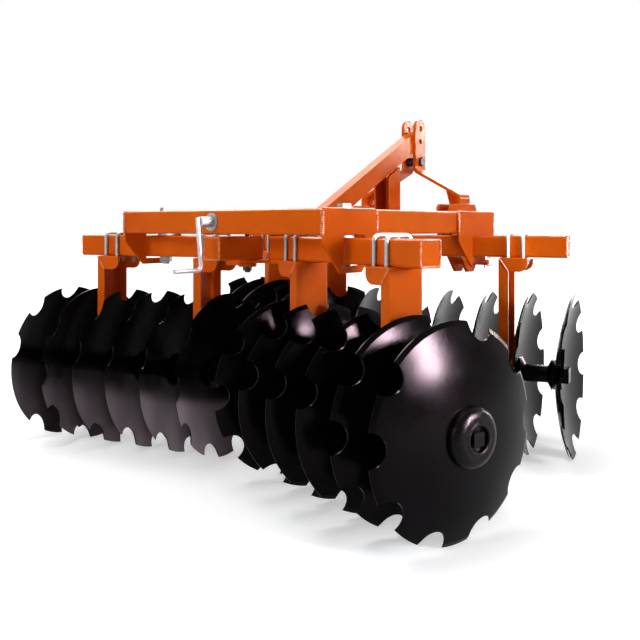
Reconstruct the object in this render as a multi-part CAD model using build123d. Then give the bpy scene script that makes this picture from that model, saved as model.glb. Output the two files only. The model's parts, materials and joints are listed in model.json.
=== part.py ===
from build123d import *
from collections import namedtuple
from math import cos, radians, sin, sqrt, tan
import os

# Tandem disc harrow for a three-point hitch, in millimetres.
# +Y is forward, +X is right and +Z is up. The floor is z = 0, under the tips of the discs,
# y = 0 is the middle of the frame and x = 0 is its plane of symmetry.

# Square tube of the frame and of the gang beams
TUBE = 76.2
TUBE_WALL = 6.4
TUBE_CORNER = 9.0
END_CAP = 6.0

# Frame: a rectangle of tube with a centre beam
FRAME_HALF_LENGTH = 484.0
FRAME_HALF_WIDTH = 457.0
FRAME_TOP = 844.0
GANG_TUBE_DROP = 8.0

# Corner plates on the outer faces of the side rails
PLATE_THICK = 8.0
PLATE_LENGTH = 247.0
PLATE_LIP = 26.0
PLATE_TOE_DROP = 28.0
PLATE_HEEL_RUN = 75.0
PLATE_TOE_RUN = 77.0
WINDOW_REAR_GAP = 8.8
WINDOW_FRONT_GAP = 8.2
WINDOW_UNDER_GAP = 5.5
WELD_FIT = 0.3

# Discs
DISC_DIAMETER = 558.8
DISC_THICK = 5.0
DISC_DISH = 52.0
DISC_FLAT_RADIUS = 55.0
RIM_BEVEL = 12.0
RIM_EDGE = 2.0
NOTCH_COUNT = 10
NOTCH_RADIUS = 43.0
DISC_PITCH = 146.0
DISCS_PER_GANG = 6
AXLE_SQUARE = 28.6
AXLE_FIT = 0.3

# Spools and end washers on the square axle
SPOOL_RADIUS = 30.0
# Columns of the bell cast on a spool's end: distance from the disc, radius
BELL = (
    (0.0, 38.0),
    (6.0, 38.0),
    (7.0, 52.0),
    (11.0, 53.0),
    (14.0, 47.0),
    (18.0, 55.0),
    (32.0, SPOOL_RADIUS),
)
SHIELD_RADIUS = 42.0
SHIELD_THICK = 5.5
DOME_RADIUS = 75.0
DOME_SHOULDER = 9.3
DOME_SHOULDER_RADIUS = 70.5
DOME_HEIGHT = 28.0
DOME_TOP_RADIUS = 42.0
DOME_RECESS_RADIUS = 32.0
DOME_RECESS_DEPTH = 12.0
PLAIN_WASHER_RADIUS = 50.0
PLAIN_WASHER_THICK = 14.0
SMALL_WASHER_RADIUS = 38.0
SMALL_WASHER_THICK = 7.0
AXLE_NUT = 50.0
AXLE_NUT_THICK = 22.0
AXLE_HEAD = 35.0
AXLE_HEAD_THICK = 9.0

# Gangs: the axle trails the gang tube by a little
AXLE_TRAIL = 8.0
REAR_ANGLE = 13.0
FRONT_ANGLE = 16.5
PIVOT_INSET = 147.0
REAR_TUBE_SHORTFALL = 150.0
REAR_TUBE_SIDE_GAP = 80.0
REAR_ARM_GAP = 13.9
FRONT_MEET_INSET = 255.8
FRONT_INNER_DISC_GAP = 8.4
FRONT_TUBE_OVERHANG = 33.0

# Shanks: a channel bent over into an arm under the gang tube
SHANK_WIDTH = 120.0
SHANK_WALL = 6.35
SHANK_DEPTH = 35.0
SHANK_FOOT_DROP = 64.4
SHANK_FACE_TO_APEX = 49.0
SHANK_BEND = 9.0
SHANK_EDGE = 5.0
ARM_LENGTH = 101.0
ARM_HEIGHT = 49.0
ARM_END_ROUND = 30.0
FOOT_ROUND = 22.0

# Bearings between shank and disc
BEARING_RADIUS = 45.0
BEARING_LENGTH = 32.0
BEARING_FIT = 0.1
WEB_HOLE_GAP = 5.5

# U-bolts over the gang tube
U_ROD = 12.0
U_CLEAR = 0.2
U_BEND = 18.0
U_ARCH_GAP = 2.5
U_STATIONS = (30.0, 82.6)
U_TAIL = 24.0
U_NUT = 18.0
U_NUT_THICK = 10.0
U_HOLE_FIT = 0.4

# Pins on which the rear gangs swing
PIVOT_PIN = 25.4
PIVOT_FIT = 0.1
PIVOT_HEAD = 38.0
PIVOT_HEAD_THICK = 16.0
PIVOT_WASHER_RADIUS = 30.0
PIVOT_NUT_THICK = 20.0
RUNNING_GAP = 0.3

# Slider in the middle, which draws the inner ends of the rear gangs fore and aft
SLIDER_PIN = 19.05
SLIDER_PIN_AHEAD = 7.0
SLIDER_NOSE = 33.0
SLIDER_FORWARD_TRAVEL = 26.0
SLIDER_REAR_TRAVEL = 37.0
SLOT_SIDE_GAP = 6.0
NUT_BLOCK = 44.0
NUT_BLOCK_LENGTH = 40.0
TONGUE_THICK = 11.0
TONGUE_GAP = 1.0
TONGUE_RADIUS = 30.0
TONGUE_SLOT_PLAY = 2.5
TONGUE_SLOT_FIT = 0.5
TONGUE_LAP = 60.0
SLIDER_NUT = 28.0
SLIDER_NUT_THICK = 12.0
SLIDER_PIN_TAIL = 6.0

# Lead screw and its crank on the rear beam
SCREW = 25.0
SCREW_FIT = 0.3
SCREW_NOSE = 75.0
SCREW_COLLAR_RADIUS = 28.5
SCREW_COLLAR_THICK = 5.0
CRANK_SLEEVE_RADIUS = 17.0
CRANK_SLEEVE_LENGTH = 46.0
CRANK_ROD = 14.0
CRANK_ARM = 164.0
CRANK_LEAN = 6.0
CRANK_HANDLE = 104.0
CRANK_BEND = 16.0

# Mast: two flat bars that spread to the hitch plates
MAST_AHEAD = 150.0
MAST_BAR_WIDTH = 73.0
MAST_BAR_THICK = 12.7
MAST_BEND_RADIUS = 20.0
MAST_SPREAD_X = 246.0
# Rises up the mast: each is measured from the one before, and the first from the hitch plates' top
MAST_SPREAD_RISE = 35.0
MAST_BEND_RISE = 111.0
SPACER_RISE = 38.0
LOW_HOLE_RISE = 85.0
TOP_HOLE_RISE = 55.0
TOP_HOLE_RADIUS = 12.9
LOW_HOLE_RADIUS = 9.8
SPACER_RADIUS = 19.0
SPACER_BOLT_RADIUS = 9.5
SPACER_NUT = 32.0
SPACER_NUT_THICK = 14.0
GUSSET_THICK = 10.0
GUSSET_FOOT_X = 183.0
GUSSET_TIP_X = 160.0
GUSSET_HOLE_RADIUS = 10.0

# Brace from the mast back to the centre beam, and the post under it
BRACE_WIDTH = 46.0
BRACE_DEPTH = 70.0
BRACE_WALL = 5.0
BRACE_SLOPE = 0.57
BRACE_NOSE_GAP = 16.0
BRACE_NOSE_DROP = 14.0
POST_WALL = 6.35

# Lower hitch
HITCH_PLATE_X = (218.0, 272.0)
HITCH_PLATE_THICK = 12.7
HITCH_NOSE = 56.0
HITCH_TOP_RISE = 36.0
HITCH_PIN_Z = 650.0
HITCH_NOSE_RADIUS = 40.0
HITCH_CHAMFER = 22.0
HITCH_HEEL_CHAMFER = 12.0
HITCH_PIN = 22.2
HITCH_PIN_END = 356.0
HITCH_COLLAR_RADIUS = 20.0
HITCH_COLLAR_THICK = 12.0
LINCHPIN_HOLE = 11.5
LINCHPIN_INSET = 12.0

# Heights and places that follow from these
HALF_TUBE = TUBE / 2
FRAME_Z = FRAME_TOP - HALF_TUBE
FRAME_BOTTOM = FRAME_TOP - TUBE
GANG_TOP = FRAME_BOTTOM - GANG_TUBE_DROP
GANG_Z = GANG_TOP - HALF_TUBE
GANG_BOTTOM = GANG_TOP - TUBE
BEAM_Y = FRAME_HALF_LENGTH - HALF_TUBE
RAIL_X = FRAME_HALF_WIDTH - HALF_TUBE
RAIL_END = FRAME_HALF_LENGTH - TUBE
PLATE_INNER = FRAME_HALF_LENGTH - PLATE_LENGTH
PLATE_TOE = FRAME_BOTTOM - PLATE_TOE_DROP
PLATE_BOTTOM = GANG_BOTTOM - PLATE_LIP
PIVOT_Y = PIVOT_INSET - FRAME_HALF_LENGTH
FRONT_MEET_Y = FRAME_HALF_LENGTH - FRONT_MEET_INSET
SLIDER_PIN_Y = PIVOT_Y + SLIDER_PIN_AHEAD
MAST_Y = FRAME_HALF_LENGTH + MAST_AHEAD
HITCH_TOP = FRAME_TOP + HITCH_TOP_RISE
MAST_SPREAD_Z = HITCH_TOP + MAST_SPREAD_RISE
MAST_BEND_Z = MAST_SPREAD_Z + MAST_BEND_RISE
SPACER_Z = MAST_BEND_Z + SPACER_RISE
LOW_HOLE_Z = SPACER_Z + LOW_HOLE_RISE
TOP_HOLE_Z = LOW_HOLE_Z + TOP_HOLE_RISE
HITCH_MID_X = sum(HITCH_PLATE_X) / 2
BRACE_FRONT_Y = MAST_Y - BRACE_NOSE_GAP
BRACE_FRONT_TOP = TOP_HOLE_Z - BRACE_NOSE_DROP
DISC_RADIUS = DISC_DIAMETER / 2
HUB_Z = DISC_RADIUS
SHANK_BOTTOM = HUB_Z - SHANK_FOOT_DROP

# The disc is part of a ball whose centre lies on the axle, this far behind the disc's flat crown
BALL_CENTRE = (DISC_RADIUS ** 2 + DISC_DISH ** 2 - DISC_FLAT_RADIUS ** 2) / (2 * DISC_DISH)
BALL_RADIUS = sqrt(BALL_CENTRE ** 2 + DISC_FLAT_RADIUS ** 2)

# The balls of the two innermost front discs come this near to each other across the middle
FRONT_LEAN = radians(FRONT_ANGLE)
FRONT_BALL_X = FRONT_INNER_DISC_GAP / 2 + BALL_RADIUS
FRONT_INNER_CROWN = (FRONT_BALL_X - AXLE_TRAIL * sin(FRONT_LEAN)) / cos(FRONT_LEAN) - BALL_CENTRE
FRONT_REACH = FRONT_INNER_CROWN + (DISCS_PER_GANG - 1) * DISC_PITCH
FRONT_TUBE_OUTER = FRONT_REACH + FRONT_TUBE_OVERHANG

# Swung square across, the innermost rear shanks' arms clear the tongues' laps by the arm gap
REAR_INNER_FACE = REAR_TUBE_SIDE_GAP + TONGUE_LAP + REAR_ARM_GAP + ARM_LENGTH
REAR_INNER_CROWN = REAR_INNER_FACE - SHANK_FACE_TO_APEX - RAIL_X
REAR_REACH = REAR_INNER_CROWN + (DISCS_PER_GANG - 1) * DISC_PITCH
REAR_TUBE_OUTER = REAR_REACH - REAR_TUBE_SHORTFALL
REAR_TUBE_INNER = (REAR_TUBE_SIDE_GAP - RAIL_X) / cos(radians(REAR_ANGLE))

# A gang is laid out along its own beam: x outboard, y forward, z up, from an origin on the beam's
# centre line. Columns: end is -1 for rear and +1 for front, bulge is the way the discs bulge along
# x, reach is the outermost disc's place, and shank discs are counted from it.
Gang = namedtuple("Gang", "name end angle origin reach bulge shank_discs")
REAR = Gang("rear", -1, REAR_ANGLE, (RAIL_X, PIVOT_Y), REAR_REACH, 1, (2, 5))
FRONT = Gang("front", 1, FRONT_ANGLE, (0, FRONT_MEET_Y), FRONT_REACH, -1, (1, 4))

# Discs are turned on the square axle by a quarter turn where this says 1, which with ten notches puts
# a notch lowest in place of a tooth. They are counted from the outermost inwards.
DISC_TURNS = {
    ("rear", "right"): (0, 0, 1, 1, 1, 0),
    ("rear", "left"): (1, 0, 1, 1, 1, 0),
    ("front", "right"): (0, 1, 1, 0, 1, 0),
    ("front", "left"): (1, 0, 0, 1, 0, 1),
}

os.makedirs("parts", exist_ok=True)


def save(name, shape):
    """Writes one node."""
    export_step(Compound(children=list(shape.solids())), f"parts/{name}.step")


def on_side(side, shape):
    """A piece made for the right side, on the side asked for."""
    return shape if side == "right" else mirror(shape, about=Plane.YZ)


def facing(bulge, shape):
    """A piece made for discs that bulge towards +x, turned to face the way they do."""
    return shape if bulge > 0 else mirror(shape, about=Plane.YZ)


def gang_place(gang):
    """Where the gang's own axes lie in the frame, on the right side."""
    angle = radians(gang.angle)
    out = (cos(angle), gang.end * sin(angle), 0)
    return Plane(origin=(*gang.origin, 0), x_dir=out, z_dir=(0, 0, 1)).location


def round_bar(radius, start, end):
    """Round bar along x."""
    return extrude(Plane.YZ.offset(start) * Circle(radius), amount=end - start)


def square_tube(start, end, grow=0.0):
    """Square tube along x about the x axis, closed by a cap at each end."""
    outside = RectangleRounded(TUBE + 2 * grow, TUBE + 2 * grow, TUBE_CORNER + grow)
    inside = RectangleRounded(TUBE - 2 * TUBE_WALL, TUBE - 2 * TUBE_WALL, TUBE_CORNER - TUBE_WALL)
    tube = extrude(Plane.YZ.offset(start) * outside, amount=end - start)
    if grow:
        return tube
    return tube - extrude(Plane.YZ.offset(start + END_CAP) * inside, amount=end - start - 2 * END_CAP)


def upright_bar(radius, low, high):
    """Round bar along z."""
    return extrude(Plane.XY.offset(low) * Circle(radius), amount=high - low)


def hexagon(across, low, high):
    """Hexagonal nut or head along z, with a flat towards +y."""
    outline = RegularPolygon(across / 2, 6, major_radius=False)
    return extrude(Plane.XY.offset(low) * outline, amount=high - low)


def turned(points):
    """Solid turned about the x axis from (x, radius) points."""
    return revolve(Plane.XY * make_face(Polyline(*points, close=True)), axis=Axis.X)


# Frame

def side_rail():
    """Right side rail, with the hole for the rear gang's pin."""
    rail = Pos(RAIL_X, 0, FRAME_Z) * Rot(0, 0, 90) * square_tube(-RAIL_END, RAIL_END)
    hole = upright_bar(PIVOT_PIN / 2 + PIVOT_FIT, FRAME_BOTTOM - 1, FRAME_TOP + 1)
    return rail - Pos(RAIL_X, PIVOT_Y) * hole


def cross_beam(end):
    """Rear or front beam of the frame; the rear one is drilled for the lead screw."""
    beam = Pos(0, end * BEAM_Y, FRAME_Z) * square_tube(-FRAME_HALF_WIDTH, FRAME_HALF_WIDTH)
    if end > 0:
        return beam
    hole = Rot(0, 0, 90) * round_bar(SCREW / 2 + SCREW_FIT, -FRAME_HALF_LENGTH - 1, -RAIL_END + 1)
    return beam - Pos(0, 0, FRAME_Z) * hole


def centre_beam():
    """Centre beam, which houses the lead screw and is slotted below for the slider's pin."""
    beam = Pos(0, 0, FRAME_Z) * Rot(0, 0, 90) * square_tube(-RAIL_END, RAIL_END)
    screw_hole = Rot(0, 0, 90) * round_bar(SCREW / 2 + SCREW_FIT, -RAIL_END - 1, -RAIL_END + END_CAP + 1)
    beam -= Pos(0, 0, FRAME_Z) * screw_hole
    half_width = SLIDER_PIN / 2 + SLOT_SIDE_GAP
    rear = SLIDER_PIN_Y - SLIDER_REAR_TRAVEL - half_width
    front = SLIDER_PIN_Y + SLIDER_FORWARD_TRAVEL + half_width
    slot = Pos(0, (rear + front) / 2, FRAME_BOTTOM) * Box(2 * half_width, front - rear, 3 * TUBE_WALL)
    return beam - slot


def corner_plate(gang):
    """Right corner plate with the window that the gang tube passes through."""
    end = gang.end
    outline = [
        (PLATE_INNER, FRAME_TOP),
        (FRAME_HALF_LENGTH, FRAME_TOP),
        (FRAME_HALF_LENGTH, PLATE_TOE),
        (FRAME_HALF_LENGTH - PLATE_TOE_RUN, PLATE_BOTTOM),
        (PLATE_INNER + PLATE_HEEL_RUN, PLATE_BOTTOM),
        (PLATE_INNER, PLATE_TOE),
    ]
    face = make_face(Polyline(*[(end * y, z) for y, z in outline], close=True))
    plate = extrude(Plane.YZ.offset(FRAME_HALF_WIDTH) * face, amount=PLATE_THICK)
    if gang is FRONT:
        passing = square_tube(0, FRONT_TUBE_OUTER, WELD_FIT)
        return plate - gang_place(gang) * Pos(0, 0, GANG_Z) * passing
    lean = radians(gang.angle)
    middle = gang.origin[1] + end * (HALF_TUBE + PLATE_THICK / 2) * tan(lean)
    half = HALF_TUBE / cos(lean)
    low = middle - half - WINDOW_REAR_GAP
    high = middle + half + WINDOW_FRONT_GAP
    floor = GANG_BOTTOM - WINDOW_UNDER_GAP
    window = Pos(FRAME_HALF_WIDTH + PLATE_THICK / 2, (low + high) / 2, (floor + FRAME_BOTTOM) / 2)
    return plate - window * Box(3 * PLATE_THICK, high - low, FRAME_BOTTOM - floor)


def centre_pad():
    """Pad that carries the meeting point of the front gang tubes under the centre beam."""
    return Pos(0, FRONT_MEET_Y, GANG_TOP + GANG_TUBE_DROP / 2) * Box(TUBE, 2 * TUBE, GANG_TUBE_DROP)


# Gangs

def front_gang_tube():
    """Right front gang tube, cut off in the plane of symmetry where it meets the left one."""
    tube = gang_place(FRONT) * Pos(0, 0, GANG_Z) * square_tube(-TUBE, FRONT_TUBE_OUTER)
    return tube & Pos(FRONT_REACH, 0, GANG_Z) * Box(2 * FRONT_REACH, 4 * FRONT_REACH, 2 * TUBE)


def tongue(top):
    """Right tongue, from under the gang tube's inner end to the slider's pin."""
    angle = radians(REAR_ANGLE)
    out = Vector(cos(angle), -sin(angle))
    ahead = Vector(sin(angle), cos(angle))
    end = Vector(RAIL_X, PIVOT_Y) + out * REAR_TUBE_INNER
    pin = Vector(0, SLIDER_PIN_Y)
    across = (pin - end).normalized().rotate(Axis.Z, -90)
    corners = [end + ahead * HALF_TUBE, end - ahead * HALF_TUBE]
    tips = [pin - across * TONGUE_RADIUS, pin + across * TONGUE_RADIUS]
    plate = make_face(Polyline(corners[0], tips[1], tips[0], corners[1], close=True))
    plate += Pos(*pin) * Circle(TONGUE_RADIUS)
    slot_length = SLIDER_PIN + 2 * (TONGUE_SLOT_FIT + TONGUE_SLOT_PLAY)
    plate -= Pos(*pin) * SlotOverall(slot_length, SLIDER_PIN + 2 * TONGUE_SLOT_FIT)
    low = top - TONGUE_THICK
    lap = [corners[0], corners[1], corners[1] + out * TONGUE_LAP, corners[0] + out * TONGUE_LAP]
    lapped = make_face(Polyline(*lap, close=True))
    packing = extrude(Plane.XY.offset(low) * lapped, amount=GANG_BOTTOM + 1 - low)
    return extrude(Plane.XY.offset(low) * plate, amount=TONGUE_THICK) + packing


def rear_gang_tube(tongue_top):
    """Right rear gang tube with its pin hole and tongue."""
    tube = Pos(0, 0, GANG_Z) * square_tube(REAR_TUBE_INNER, REAR_TUBE_OUTER)
    tube -= upright_bar(PIVOT_PIN / 2 + PIVOT_FIT, GANG_BOTTOM - 1, GANG_TOP + 1)
    return gang_place(REAR) * tube + tongue(tongue_top)


def shank():
    """Shank with its web's outer face at x = 0 and its arm towards -x."""
    low, top = SHANK_BOTTOM, GANG_BOTTOM
    side = make_face(Polyline(
        (0, low), (0, top), (-ARM_LENGTH, top), (-ARM_LENGTH, top - ARM_HEIGHT),
        (-SHANK_DEPTH, top - ARM_HEIGHT), (-SHANK_DEPTH, low), close=True))
    rounds = {
        (0, top): SHANK_BEND,
        (-ARM_LENGTH, top - ARM_HEIGHT): ARM_END_ROUND,
        (-SHANK_DEPTH, low): FOOT_ROUND,
    }
    for (x, z), radius in rounds.items():
        corner = side.vertices().sort_by_distance((x, z, 0))[0]
        side = fillet(corner, radius)
    body = extrude(Plane.XZ * side, amount=SHANK_WIDTH / 2, both=True)
    body = fillet(body.edges().filter_by(Axis.Z).group_by(Axis.X)[-1], SHANK_EDGE)
    height = top - low
    hollow = Pos(-SHANK_WALL - ARM_LENGTH / 2, 0, low + height / 2 - SHANK_WALL) * Box(
        ARM_LENGTH, SHANK_WIDTH - 2 * SHANK_WALL, height)
    body -= hollow
    body -= Pos(0, -AXLE_TRAIL, HUB_Z) * round_bar(SPOOL_RADIUS + WEB_HOLE_GAP, -2 * SHANK_WALL, SHANK_WALL)
    leg = upright_bar((U_ROD + U_HOLE_FIT) / 2, top - 2 * SHANK_WALL, top + 1)
    for x in U_STATIONS:
        for y in (-u_leg_y(), u_leg_y()):
            body -= Pos(-x, y) * leg
    return body


def u_leg_y():
    """Distance of a U-bolt's leg from the middle of the gang tube."""
    return HALF_TUBE + U_CLEAR + U_ROD / 2


def u_bolt():
    """U-bolt over the gang tube in the plane x = 0, with its nuts under the arm."""
    y = u_leg_y()
    top = GANG_TOP + U_ARCH_GAP + U_ROD / 2
    low = GANG_BOTTOM - U_TAIL
    path = FilletPolyline((0, -y, low), (0, -y, top), (0, y, top), (0, y, low), radius=U_BEND)
    rod = sweep(Plane(origin=(0, -y, low), z_dir=(0, 0, 1)) * Circle(U_ROD / 2), path=path)
    seat = GANG_BOTTOM - SHANK_WALL
    for side in (-1, 1):
        rod += Pos(0, side * y) * hexagon(U_NUT, seat - U_NUT_THICK, seat)
    return rod


def bearing():
    """Bearing housing against the inside of the shank's web, whose outer face is at x = 0."""
    seat = -SHANK_WALL
    housing = round_bar(BEARING_RADIUS, seat - BEARING_LENGTH, seat)
    housing -= round_bar(SPOOL_RADIUS + BEARING_FIT, seat - BEARING_LENGTH - 1, seat + 1)
    return Pos(0, -AXLE_TRAIL, HUB_Z) * housing


def at_shanks(gang, piece, stations=(0,)):
    """Copies of a shank's piece at both of the gang's shanks, as one node's solids on the right side."""
    copies = []
    for disc in gang.shank_discs:
        apex = gang.reach - disc * DISC_PITCH
        face = apex + gang.bulge * SHANK_FACE_TO_APEX
        for station in stations:
            here = Pos(face - gang.bulge * station, 0, 0)
            copies.append(gang_place(gang) * here * facing(gang.bulge, piece))
    return Compound(children=[solid for copy in copies for solid in copy.solids()])


def disc():
    """Notched disc about the x axis, its flat crown at x = 0 and bulging towards +x, a tooth lowest."""
    outer = BALL_RADIUS
    inner = BALL_RADIUS - DISC_THICK

    def surface(radius, r):
        return (sqrt(radius ** 2 - r ** 2) - BALL_CENTRE, r)

    flat_inner = sqrt(inner ** 2 - (BALL_CENTRE - DISC_THICK) ** 2)
    half_way = (DISC_FLAT_RADIUS + DISC_RADIUS) / 2
    bevel_start = surface(outer, DISC_RADIUS - RIM_BEVEL)
    hollow_rim = surface(inner, DISC_RADIUS)
    crown_rim = (hollow_rim[0] + RIM_EDGE, DISC_RADIUS)
    outline = Polyline((-DISC_THICK, flat_inner), (-DISC_THICK, 0), (0, 0), (0, DISC_FLAT_RADIUS))
    outline += ThreePointArc((0, DISC_FLAT_RADIUS), surface(outer, half_way), bevel_start)
    outline += Polyline(bevel_start, crown_rim, hollow_rim)
    outline += ThreePointArc(hollow_rim, surface(inner, half_way), (-DISC_THICK, flat_inner))
    blank = revolve(make_face(outline), axis=Axis.X)
    pitch = 360 / NOTCH_COUNT
    for number in range(NOTCH_COUNT):
        turn = Rot(-90 + (number + 0.5) * pitch, 0, 0)
        blank -= turn * Pos(0, DISC_RADIUS, 0) * round_bar(NOTCH_RADIUS, -2 * DISC_DISH, DISC_DISH)
    hole = AXLE_SQUARE + 2 * AXLE_FIT
    return blank - Box(4 * DISC_DISH, hole, hole)


def discs(gang, side):
    """The gang's discs."""
    one = facing(gang.bulge, disc())
    copies = []
    for number, turn in enumerate(DISC_TURNS[gang.name, side]):
        place = Pos(gang.reach - number * DISC_PITCH, -AXLE_TRAIL, HUB_Z) * Rot(turn * 90, 0, 0)
        copies.append(gang_place(gang) * place * one)
    return on_side(side, Compound(children=[copy.solid() for copy in copies]))


def spool(crown, dish, beside_bearing):
    """Spool from one disc's hollow side at x = dish down to the next one's crown at x = crown."""
    hollow_bell = [(dish - away, radius) for away, radius in BELL]
    crown_bell = [(crown + away, radius) for away, radius in reversed(BELL)]
    if beside_bearing:
        shield = crown + SHIELD_THICK
        crown_bell = [(shield, SPOOL_RADIUS), (shield, SHIELD_RADIUS), (crown, SHIELD_RADIUS)]
    return turned([(dish, 0), *hollow_bell, *crown_bell, (crown, 0)])


def axle(gang):
    """Square axle with its spools, washers and nuts, for discs that bulge towards +x."""
    last = -(DISCS_PER_GANG - 1) * DISC_PITCH
    rear = gang is REAR
    numbers = [n if rear else DISCS_PER_GANG - 1 - n for n in gang.shank_discs]
    if rear:
        crown_end = DOME_HEIGHT
        seat = DOME_HEIGHT - DOME_RECESS_DEPTH
        washer = turned([
            (0, 0), (0, DOME_RADIUS),
            (DOME_SHOULDER, DOME_SHOULDER_RADIUS), (DOME_HEIGHT, DOME_TOP_RADIUS),
            (DOME_HEIGHT, DOME_RECESS_RADIUS), (seat, DOME_RECESS_RADIUS), (seat, 0)])
        washer += Pos((seat + crown_end) / 2, 0, 0) * Box(DOME_RECESS_DEPTH, AXLE_HEAD, AXLE_HEAD)
    else:
        crown_end = SMALL_WASHER_THICK + AXLE_HEAD_THICK
        washer = round_bar(SMALL_WASHER_RADIUS, 0, SMALL_WASHER_THICK)
        washer += Pos(crown_end / 2, 0, 0) * Box(crown_end, AXLE_NUT, AXLE_NUT)
    back = last - DISC_THICK
    end = back - PLAIN_WASHER_THICK - AXLE_NUT_THICK
    middle = (crown_end + end) / 2
    body = Pos(middle, 0, 0) * Box(crown_end - end, AXLE_SQUARE, AXLE_SQUARE)
    body += washer
    body += round_bar(PLAIN_WASHER_RADIUS, back - PLAIN_WASHER_THICK, back)
    body += Pos(end + AXLE_NUT_THICK / 2, 0, 0) * Box(AXLE_NUT_THICK, AXLE_NUT, AXLE_NUT)
    for number in range(1, DISCS_PER_GANG):
        crown = -number * DISC_PITCH
        body += spool(crown, crown + DISC_PITCH - DISC_THICK, number in numbers)
    outermost_crown = gang.reach if rear else gang.reach + last
    place = Pos(outermost_crown, -AXLE_TRAIL, HUB_Z)
    return gang_place(gang) * place * facing(gang.bulge, body)


# Pins, slider and lead screw

def pivot_pin():
    """Right pin on which the rear gang swings."""
    washer_low = GANG_TOP + RUNNING_GAP
    nut_top = GANG_BOTTOM - RUNNING_GAP
    pin = upright_bar(PIVOT_PIN / 2, nut_top - PIVOT_NUT_THICK - PIVOT_PIN / 4, FRAME_TOP)
    pin += hexagon(PIVOT_HEAD, FRAME_TOP, FRAME_TOP + PIVOT_HEAD_THICK)
    pin += upright_bar(PIVOT_WASHER_RADIUS, washer_low, FRAME_BOTTOM)
    pin += hexagon(PIVOT_HEAD, nut_top - PIVOT_NUT_THICK, nut_top)
    return Pos(RAIL_X, PIVOT_Y) * pin


def slider_tube():
    """Short tube under the rear beam that the slider's pin passes through."""
    tube = Pos(0, 0, GANG_Z) * Rot(0, 0, 90) * square_tube(-FRAME_HALF_LENGTH, SLIDER_PIN_Y + SLIDER_NOSE)
    hole = upright_bar(SLIDER_PIN / 2 + PIVOT_FIT, GANG_BOTTOM - 1, GANG_TOP + 1)
    return tube - Pos(0, SLIDER_PIN_Y) * hole


def slider_pin():
    """Nut block on the lead screw, with the pin that goes down through the slider and both tongues."""
    block_low = FRAME_Z - NUT_BLOCK / 2
    nut_top = GANG_BOTTOM - 2 * (TONGUE_GAP + TONGUE_THICK) - TONGUE_GAP
    nut_low = nut_top - SLIDER_NUT_THICK
    pin = upright_bar(SLIDER_PIN / 2, nut_low - SLIDER_PIN_TAIL, block_low + 1)
    pin += hexagon(SLIDER_NUT, nut_low, nut_top)
    block = Pos(0, 0, FRAME_Z) * Box(NUT_BLOCK, NUT_BLOCK_LENGTH, NUT_BLOCK)
    thread = Rot(0, 0, 90) * round_bar(SCREW / 2 + SCREW_FIT, -NUT_BLOCK_LENGTH, NUT_BLOCK_LENGTH)
    return Pos(0, SLIDER_PIN_Y) * (pin + block - Pos(0, 0, FRAME_Z) * thread)


def lead_screw():
    """Lead screw through the rear beam, with its collar against the beam's rear face."""
    back = -FRAME_HALF_LENGTH
    sleeve_end = back - SCREW_COLLAR_THICK - CRANK_SLEEVE_LENGTH
    screw = round_bar(SCREW / 2, back - SCREW_COLLAR_THICK, SLIDER_PIN_Y + SCREW_NOSE)
    screw += round_bar(SCREW_COLLAR_RADIUS, back - SCREW_COLLAR_THICK, back)
    screw += round_bar(CRANK_SLEEVE_RADIUS, sleeve_end, back - SCREW_COLLAR_THICK)
    return Pos(0, 0, FRAME_Z) * Rot(0, 0, 90) * screw


def crank():
    """Crank of bent rod behind the sleeve, hanging down with its handle to the rear."""
    sleeve_end = -FRAME_HALF_LENGTH - SCREW_COLLAR_THICK - CRANK_SLEEVE_LENGTH
    y = sleeve_end - CRANK_ROD / 2
    top = FRAME_Z + CRANK_ROD
    lean = radians(CRANK_LEAN)
    foot_x = CRANK_ARM * sin(lean)
    foot_z = top - CRANK_ARM * cos(lean)
    start = (0, y, top)
    path = FilletPolyline(start, (foot_x, y, foot_z), (foot_x, y - CRANK_HANDLE, foot_z), radius=CRANK_BEND)
    profile = Plane(origin=start, z_dir=(foot_x, 0, foot_z - top)) * Circle(CRANK_ROD / 2)
    return sweep(profile, path=path)


# Mast, brace and hitch

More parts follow.
